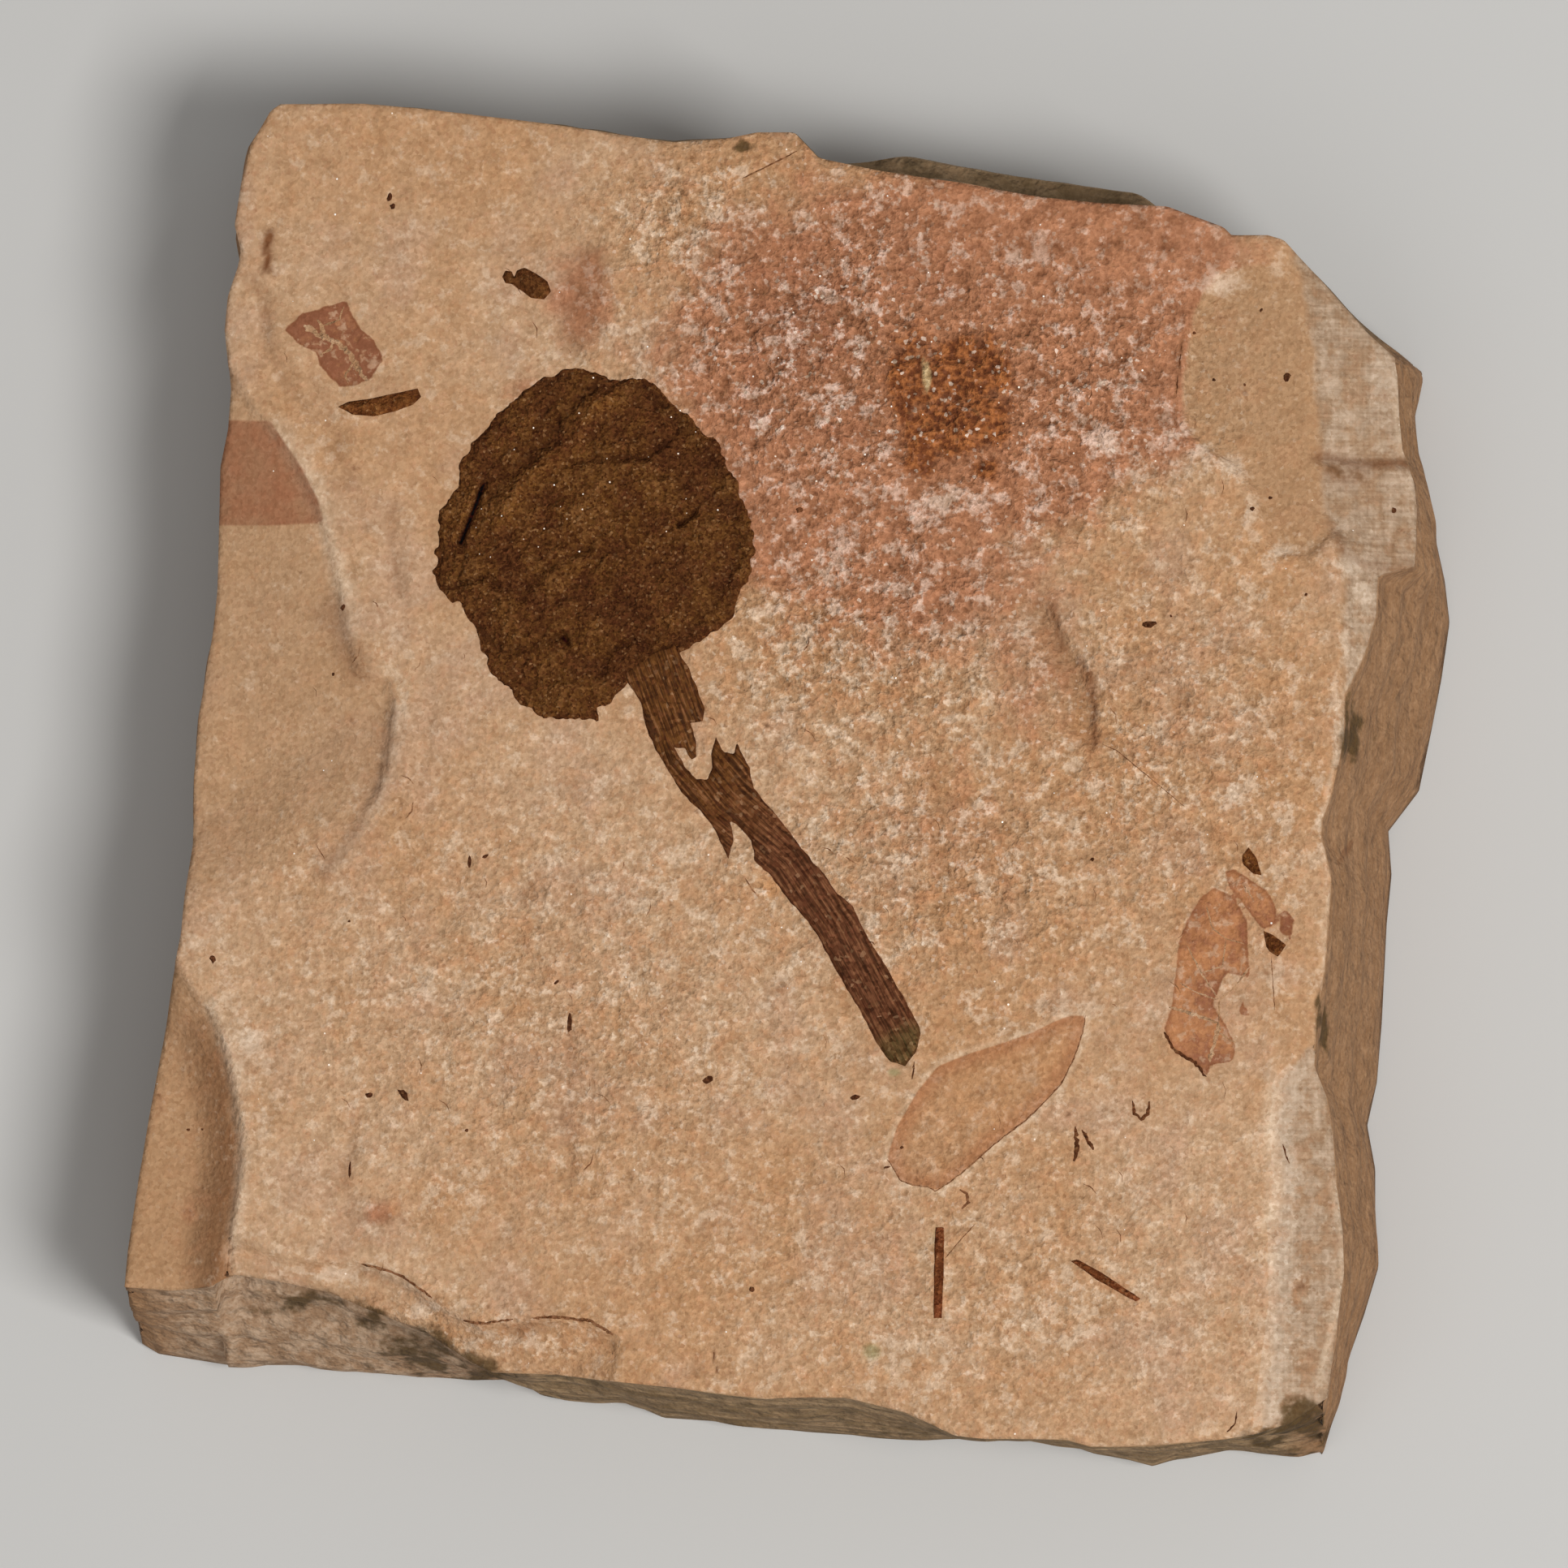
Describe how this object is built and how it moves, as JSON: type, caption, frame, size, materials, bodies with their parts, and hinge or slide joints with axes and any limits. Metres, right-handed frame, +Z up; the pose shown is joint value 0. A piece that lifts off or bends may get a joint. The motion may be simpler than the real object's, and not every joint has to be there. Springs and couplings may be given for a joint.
{
  "type": "fossil conifer cone on a shale slab",
  "caption": "Split slab of tan shale lying flat, with a dark pressed conifer cone on its frayed stalk and small scraps of needle and seed on the split face.",
  "frame": {"origin": "middle of the slab's box, on its flat underside", "axes": "+Z up out of the split face, the slab's thickness; +Y along its longest side, from the end where the stalk points to the cone's end"},
  "size_m": [0.0812, 0.0836, 0.0168],
  "materials": {
    "shale": "matte, fine grained, mottled tan with a rusty patch",
    "cone_coal": "matte dark brown plant film, wrinkled",
    "stalk_coal": "matte reddish brown plant film with lengthwise fibres",
    "leaf_coal": "slightly satin dark brown plant film",
    "seed_coal": "matte dark brown plant film"
  },
  "bodies": {
    "root": {"matrix_slab": "shale", "cone": "cone_coal", "cone_stalk": "stalk_coal", "needle_leaf": "leaf_coal", "seed": "seed_coal", "needle_fragment_a": "leaf_coal", "needle_fragment_b": "leaf_coal"}
  },
  "joints": []
}
